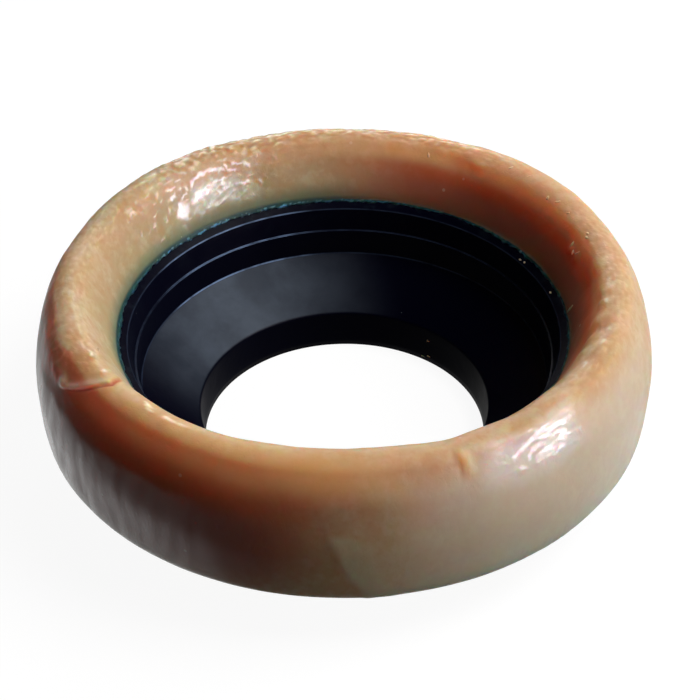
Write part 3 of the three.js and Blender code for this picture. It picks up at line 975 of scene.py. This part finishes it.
# Painted shade in creases
WAX_CREASE_SHADE = (0.40, 0.045, 0.014, 1.0)
WAX_SMEAR = (0.62, 0.54, 0.37, 1.0)
# Partly a greasy film, partly painted sheen, grey beige
WAX_SHEEN_FILM = (0.66, 0.60, 0.50, 1.0)
# Painted highlight, lilac white
WAX_GLOSS_LILAC = (0.82, 0.70, 0.74, 1.0)
WAX_OLIVE = (0.43, 0.32, 0.175, 1.0)
WAX_THIN = (0.15, 0.155, 0.10, 1.0)
WAX_FEATHER = (0.025, 0.055, 0.052, 1.0)
# Painted glints on the feather edge
WAX_EDGE_GLINTS = (0.46, 0.60, 0.62, 1.0)
WAX_TORN = (0.86, 0.66, 0.36, 1.0)
WAX_FRESH = (0.72, 0.62, 0.44, 1.0)


def petroleum_wax():
    """Greasy tan wax: cloudy tan, with painted red and deep-brown shade on its shaded sides, painted shade
    in its creases, painted glow, highlights and sheen, and green where it thins over the plastic.
    """
    material, nodes, surface = new_material("tan petroleum wax")
    from_toe = nodes.held("from_toe")
    pale = nodes.placed(CLOUDY, "pale clouds", Size=0.012, Low=0.42, High=0.68)
    ochre = nodes.placed(CLOUDY, "ochre clouds", Size=0.015, Low=0.50, High=0.72, Shift=(0.3, 0.1, 0.0),
                         Detail=5.0)
    in_mouth = nodes.without(nodes.band(from_toe, 3.0, 15.0))
    mottle = nodes.placed(CLOUDY, "fine mottle", Size=0.0016, Low=0.40, High=0.70, Detail=4.0)
    curds = nodes.placed(CLOUDY, "pale curds", Size=0.0032, Low=0.48, High=0.66, Detail=3.0,
                         Shift=(0.1, 0.0, 0.2))
    by_plastic = nodes.without(nodes.band(from_toe, 0.0, 5.0))
    at_feather = nodes.without(nodes.band(from_toe, 0.0, 0.9))
    flecks = nodes.placed(FLECKS, "pale bits", Spacing=0.0055, Fleck=0.07, Share=0.35)
    colour = WAX_TAN
    for label, mask, strength, tint in (
            ("tan to pale", pale, 0.7, WAX_PALE),
            ("ochre clouds", ochre, 0.6, WAX_OCHRE),
            ("olive in the mouth", in_mouth, 0.75, WAX_OLIVE),
            ("fine mottle", mottle, 0.38, WAX_OCHRE),
            ("pale curds", curds, 0.2, WAX_FRESH),
            # Painted shade in the hollows
            ("pit_shade", nodes.held("pit_shade"), 0.4, WAX_PIT_SHADE),
            # Partly a greasy film, partly painted sheen
            ("thin film", nodes.held("sheen_and_film"), 0.72, WAX_SHEEN_FILM),
            # Painted lilac-white highlight
            ("milky grease", nodes.held("painted_gloss"), 0.75, WAX_GLOSS_LILAC),
            ("thin over the plastic", by_plastic, 0.85, WAX_THIN),
            ("feather edge", at_feather, 0.95, WAX_FEATHER),
            # Painted shade in red and deep brown
            ("amber wax", nodes.held("painted_red_shade"), 1.0, WAX_SHADE_RED),
            ("umber wax", nodes.held("painted_deep_shade"), 0.9, WAX_SHADE_BROWN),
            # Painted warm light
            ("golden wax", nodes.held("painted_warm_light"), 0.75, WAX_WARM_LIGHT),
            # Painted glow of light through thin wax at the edges of folds
            ("thin edges of folds", nodes.held("glow"), 0.75, WAX_PAINTED_GLOW),
            # Painted shade in the creases
            ("creases", nodes.held("crease"), 0.9, WAX_CREASE_SHADE),
            # Painted highlights
            ("cream lip", nodes.held("cream"), 0.9, WAX_HIGHLIGHT_CREAM),
            ("smear", nodes.held("smeared"), 0.55, WAX_SMEAR),
            # Painted glints
            ("shining feather edge", nodes.held("edge_glints"), 0.8, WAX_EDGE_GLINTS),
            ("pale bits", flecks, 0.45, WAX_FRESH)):
        colour = nodes.blend(nodes.both(mask, strength), colour, tint, label)

    wet = nodes.held("wet")
    greasy = nodes.placed(CLOUDY, "greasy patches", Size=0.007, Low=0.35, High=0.65, Detail=4.0,
                          Stretch=(1.0, 1.0, 2.0))
    dull = nodes.maths("MULTIPLY_ADD", greasy, -0.14, 0.50, label="dull wax")
    rough = nodes.maths("MULTIPLY_ADD", wet, -0.2, dull, label="wet wax is smoother")
    film = nodes.both(wet, 0.9)
    crinkle = nodes.placed(CRINKLE, "crinkles", Size=0.0013, Sharpness=0.5)
    ripple = nodes.placed(CRINKLE, "ripples", Size=0.005, Sharpness=0.15, Stretch=(1.0, 1.0, 1.8))
    height = nodes.both(crinkle, nodes.maths("MULTIPLY_ADD", wet, 0.25, 0.13))
    height = nodes.maths("MULTIPLY_ADD", ripple, 0.35, height)
    bump = nodes.add("ShaderNodeBump", "crumpled grease", Strength=0.6, Distance=0.0006, Height=height)
    shader = nodes.add("ShaderNodeBsdfPrincipled", "wax", {"subsurface_method": "RANDOM_WALK"},
                       Base_Color=colour, Roughness=rough, Normal=bump.outputs[0], Coat_Weight=film,
                       Coat_Roughness=0.22, Coat_IOR=1.6, IOR=1.45, Specular_IOR_Level=0.09,
                       Subsurface_Weight=1.0, Subsurface_Radius=(1.0, 0.21, 0.065), Subsurface_Scale=0.020)
    nodes.feed(surface, "Surface", shader.outputs[0])
    return material


def torn_wax():
    """Pale torn wax of the loose slivers and crumbs."""
    material, nodes, surface = new_material("pale torn wax")
    clouds = nodes.placed(CLOUDY, "clouds", Size=0.0012, Low=0.4, High=0.65)
    colour = nodes.blend(clouds, WAX_TORN, WAX_PALE, "torn faces")
    tooth = nodes.placed(CRINKLE, "torn tooth", Size=0.0004, Sharpness=0.3)
    bump = nodes.add("ShaderNodeBump", "torn", Strength=0.5, Distance=0.0001, Height=tooth)
    shader = nodes.add("ShaderNodeBsdfPrincipled", "torn wax", Base_Color=colour, Normal=bump.outputs[0],
                       Roughness=nodes.maths("MULTIPLY_ADD", clouds, 0.15, 0.22), Subsurface_Weight=0.4,
                       Subsurface_Radius=(1.0, 0.5, 0.25), Subsurface_Scale=0.0008, IOR=1.45)
    nodes.feed(surface, "Surface", shader.outputs[0])
    return material


# Plastic colours, linear
PLASTIC_BLACK = (0.0006, 0.0008, 0.0060, 1.0)
# Painted sheen on the cone
PLASTIC_PAINTED_SHEEN = (0.110, 0.135, 0.175, 1.0)
# Painted highlight on edges
PLASTIC_EDGE_SHINE = (0.17, 0.25, 0.42, 1.0)
PLASTIC_FILM = (0.008, 0.014, 0.022, 1.0)
PLASTIC_SPECK = (0.20, 0.24, 0.24, 1.0)

# The middle of the painted sheen on the cone, in metres
SHEEN_CENTRE = (-0.025, 0.027, 0.013)

# Edges with a painted highlight, in millimetres: height, half width and strength
PAINTED_SHINE_EDGES = ((HORN_FACES[5][1], 0.18, 0.8), (HORN_FACES[4][1], 0.12, 0.6), (HORN_FACES[2][1], 0.2, 1.0))


def black_plastic():
    """Moulded black plastic with a painted sheen on its cone, painted highlights on its edges, scuffs, and a
    thin film of wax on its upper faces.
    """
    material, nodes, surface = new_material("black moulded plastic")
    at = nodes.add("ShaderNodeTexCoord", "on the piece").outputs["Object"]
    height = nodes.add("ShaderNodeSeparateXYZ", "height", _0=at).outputs[2]
    cone_low = THROAT_HEIGHT * MM
    cone_high = (THROAT_HEIGHT + CONE_HEIGHT) * MM
    on_cone = nodes.both(nodes.band(height, cone_low, cone_low + 0.0004),
                         nodes.without(nodes.band(height, cone_high - 0.0003, cone_high)))
    # Painted sheen: a bluish light on the cone's upper left, where the window reflects
    sheen_clouds = nodes.placed(CLOUDY, "sheen_clouds", Size=0.010, Low=0.25, High=0.75, Detail=5.0)
    sheen_clouds = nodes.maths("MULTIPLY_ADD", sheen_clouds, 0.45, 0.55)
    from_sheen_clouds = nodes.add("ShaderNodeVectorMath", "from the haze", {"operation": "DISTANCE"}, _0=at,
                          _1=SHEEN_CENTRE)
    painted_sheen = nodes.both(nodes.both(on_cone, sheen_clouds),
                      nodes.without(nodes.band(from_sheen_clouds.outputs["Value"], 0.002, 0.040)))
    colour = nodes.blend(nodes.both(painted_sheen, 0.75), PLASTIC_BLACK, PLASTIC_PAINTED_SHEEN, "haze on the cone")
    # Painted highlights along the edges, patchy, strongest on the lit back-left side
    edges = 0.0
    for edge_height, half_width, strength in PAINTED_SHINE_EDGES:
        off = nodes.maths("ABSOLUTE", nodes.maths("SUBTRACT", height, edge_height * MM))
        near = nodes.both(nodes.without(nodes.band(off, half_width * 0.4 * MM, half_width * MM)), strength)
        edges = nodes.maths("MAXIMUM", near, edges)
    patchy = nodes.placed(CLOUDY, "rubbed in places", Size=0.004, Low=0.30, High=0.60, Detail=4.0)
    lit_side_shine = nodes.both(nodes.held("lit_side_shine"), nodes.maths("MULTIPLY_ADD", patchy, 0.6, 0.4))
    colour = nodes.blend(nodes.both(edges, lit_side_shine), colour, PLASTIC_EDGE_SHINE, "rubbed edges")
    by_lip = nodes.band(height, (LIP_TOP - 1.5) * MM, (LIP_TOP - 0.9) * MM, "by the lip")
    on_collar = nodes.band(height, (LIP_TOP - 6.5) * MM, (LIP_TOP - 2.0) * MM, "on the collar")
    smears = nodes.placed(CLOUDY, "wax film", Size=0.003, Low=0.50, High=0.72, Detail=5.0)
    filmed = nodes.both(nodes.maths("MULTIPLY_ADD", by_lip, 0.3, nodes.both(on_collar, 0.12)), smears)
    colour = nodes.blend(filmed, colour, PLASTIC_FILM, "wax film")
    specks = nodes.placed(FLECKS, "specks", Spacing=0.006, Fleck=0.03, Share=0.5)
    colour = nodes.blend(nodes.both(specks, 0.25), colour, PLASTIC_SPECK, "specks")
    scuffs = nodes.placed(CLOUDY, "scuffs", Size=0.010, Low=0.3, High=0.8, Detail=6.0,
                          Shift=(0.2, 0.4, 0.0))
    rough = nodes.maths("MULTIPLY_ADD", scuffs, 0.12, 0.34)
    rough = nodes.maths("MULTIPLY_ADD", nodes.maths("MAXIMUM", painted_sheen, filmed), 0.12, rough)
    tooth = nodes.placed(CRINKLE, "moulding tooth", Size=0.0007, Sharpness=0.0)
    wavy = nodes.placed(CRINKLE, "moulding waves", Size=0.006, Sharpness=0.0)
    relief = nodes.maths("MULTIPLY_ADD", wavy, 1.5, nodes.both(tooth, 0.25))
    relief = nodes.maths("MULTIPLY_ADD", filmed, 1.5, relief)
    bump = nodes.add("ShaderNodeBump", "tooth and film", Strength=0.3, Distance=0.0002, Height=relief)
    shader = nodes.add("ShaderNodeBsdfPrincipled", "plastic", Base_Color=colour, Roughness=rough,
                       Normal=bump.outputs[0], IOR=1.5, Specular_IOR_Level=0.04)
    nodes.feed(surface, "Surface", shader.outputs[0])
    return material


def low_sky(nodes):
    """1 from the horizon down, where the room is white, and 0 up at the dim ceiling."""
    way = nodes.add("ShaderNodeTexCoord", "way").outputs["Generated"]
    up = nodes.add("ShaderNodeSeparateXYZ", "how high", _0=way).outputs[2]
    return nodes.without(nodes.band(up, 0.02, 0.25, "ceiling"))


def seen_share(nodes, in_gloss=1.0):
    """1 for what the camera sees, in_gloss for what shows in a reflection, 0 for light on the object."""
    path = nodes.add("ShaderNodeLightPath", "who looks")
    straight = nodes.maths("MAXIMUM", path.outputs["Is Camera Ray"], path.outputs["Is Transmission Ray"])
    return nodes.maths("MAXIMUM", straight, nodes.both(path.outputs["Is Glossy Ray"], in_gloss))


FLOOR_GREY = (0.11, 0.11, 0.11, 1.0)
FLOOR_GLOW = 0.93
FLOOR_REACH = 3000.0
ROOM_LIGHT = 0.03
WHITE = (1.0, 1.0, 1.0, 1.0)


def pale_floor():
    """Plain pale floor that shows near white and keeps the shadow; in reflections its glow is a painted
    bright pool round the object, with painted shade under the bore.
    """
    corners = np.array([(-1.0, -1.0, 0.0), (1.0, -1.0, 0.0), (1.0, 1.0, 0.0), (-1.0, 1.0, 0.0)])
    floor = mesh_piece("floor", corners * FLOOR_REACH, [(0, 1, 2, 3)])
    material, nodes, surface = new_material("pale floor")
    at = nodes.add("ShaderNodeTexCoord", "on the floor").outputs["Object"]
    far = nodes.add("ShaderNodeVectorMath", "from the object", {"operation": "DISTANCE"},
                    _0=at, _1=(0.0, 0.03, 0.0)).outputs["Value"]
    # In reflections only: a painted pool of light round the object, and painted shade under the bore
    painted_pool = nodes.maths("MULTIPLY_ADD", nodes.band(far, 0.105, 0.13), -0.75, 1.0)
    from_bore = nodes.add("ShaderNodeVectorMath", "from the bore", {"operation": "LENGTH"}, _0=at)
    in_bore = nodes.band(from_bore.outputs["Value"], 0.028, 0.036)
    painted_bore_shade = nodes.maths("MULTIPLY_ADD", in_bore, 0.8, 0.2)
    glow = seen_share(nodes, nodes.both(painted_pool, painted_bore_shade))
    from_below = nodes.add("ShaderNodeNewGeometry", "seen from below").outputs["Backfacing"]
    shader = nodes.add("ShaderNodeBsdfPrincipled", "floor", Base_Color=FLOOR_GREY, Roughness=0.9,
                       Alpha=nodes.without(from_below), Specular_IOR_Level=0.0, Emission_Color=WHITE,
                       Emission_Strength=nodes.both(glow, FLOOR_GLOW))
    nodes.feed(surface, "Surface", shader.outputs[0])
    floor.data.materials.append(material)


def studio_world():
    """White behind the object, and a low even light on it."""
    world = bpy.data.worlds.new("studio")
    bpy.context.scene.world = world
    world.use_nodes = True
    world.node_tree.nodes.clear()
    nodes = Nodes(world.node_tree)
    strength = nodes.maths("MULTIPLY_ADD", seen_share(nodes, low_sky(nodes)), 1.0 - ROOM_LIGHT, ROOM_LIGHT)
    sky = nodes.add("ShaderNodeBackground", "sky", Color=WHITE, Strength=strength)
    nodes.feed(nodes.add("ShaderNodeOutputWorld", "world"), "Surface", sky.outputs[0])


def soft_lamp(name, bearing, elevation, distance, size, power, lights=True, tint=(1.0, 1.0, 1.0)):
    """Rectangular lamp that faces the object, from a bearing and an elevation in degrees.

    Without lights it is only seen in gloss.
    """
    lamp = bpy.data.lights.new(name, "AREA")
    lamp.shape = "RECTANGLE"
    lamp.size, lamp.size_y = size
    lamp.energy = power
    lamp.color = tint
    stand = bpy.data.objects.new(name, lamp)
    bpy.context.collection.objects.link(stand)
    turn, lift = math.radians(bearing), math.radians(elevation)
    way = Vector((math.cos(turn) * math.cos(lift), math.sin(turn) * math.cos(lift), math.sin(lift)))
    stand.location = Vector((0.0, 0.0, 0.03)) + way * distance
    stand.rotation_euler = way.to_track_quat("Z", "Y").to_euler()
    stand.visible_diffuse = lights


def photograph_camera():
    """The camera of the photograph."""
    lens = bpy.data.cameras.new("camera")
    lens.lens = VIEW_LENS
    lens.sensor_width = 36.0
    lens.clip_start = 0.01
    camera = bpy.data.objects.new("camera", lens)
    bpy.context.collection.objects.link(camera)
    lift = math.radians(VIEW_ELEVATION)
    back = Vector((0.0, -math.cos(lift), math.sin(lift)))
    spot = Matrix.Translation((Vector(VIEW_TARGET) + back * VIEW_DISTANCE) * MM)
    aim = back.to_track_quat("Z", "Y").to_matrix().to_4x4()
    camera.matrix_world = spot @ aim @ Matrix.Rotation(math.radians(VIEW_ROLL), 4, "Z")
    bpy.context.scene.camera = camera


horn = outlet_horn()
wax, worked_spots, worked_side = wax_ring()
slivers = wax_slivers(worked_spots, worked_side)
crumbs = wax_crumbs()

pale_torn_wax = torn_wax()
wax.data.materials.append(petroleum_wax())
horn.data.materials.append(black_plastic())
slivers.data.materials.append(pale_torn_wax)
crumbs.data.materials.append(pale_torn_wax)
for piece, slot in ((wax, "wax"), (horn, "black_plastic"), (slivers, "wax"), (crumbs, "wax")):
    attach(piece, "root")
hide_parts("wax_ring")
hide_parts("outlet_horn")

pale_floor()
studio_world()
soft_lamp("window", 2.0, 54.0, 0.8, (0.50, 0.50), 5.9)
soft_lamp("back window", 92.0, 18.0, 0.8, (0.40, 0.24), 1.8)
soft_lamp("low window", -16.0, 16.0, 0.8, (0.40, 0.24), 1.9)
soft_lamp("bright panes", -20.0, 24.0, 0.9, (0.86, 0.66), 15.5, lights=False, tint=(1.0, 0.90, 1.0))
soft_lamp("low panes", -6.0, 5.0, 0.9, (0.50, 0.16), 2.7, lights=False)
soft_lamp("back panes", 90.0, 34.0, 0.9, (0.50, 0.24), 1.3, lights=False)
photograph_camera()
bpy.context.scene.view_settings.view_transform = "Standard"
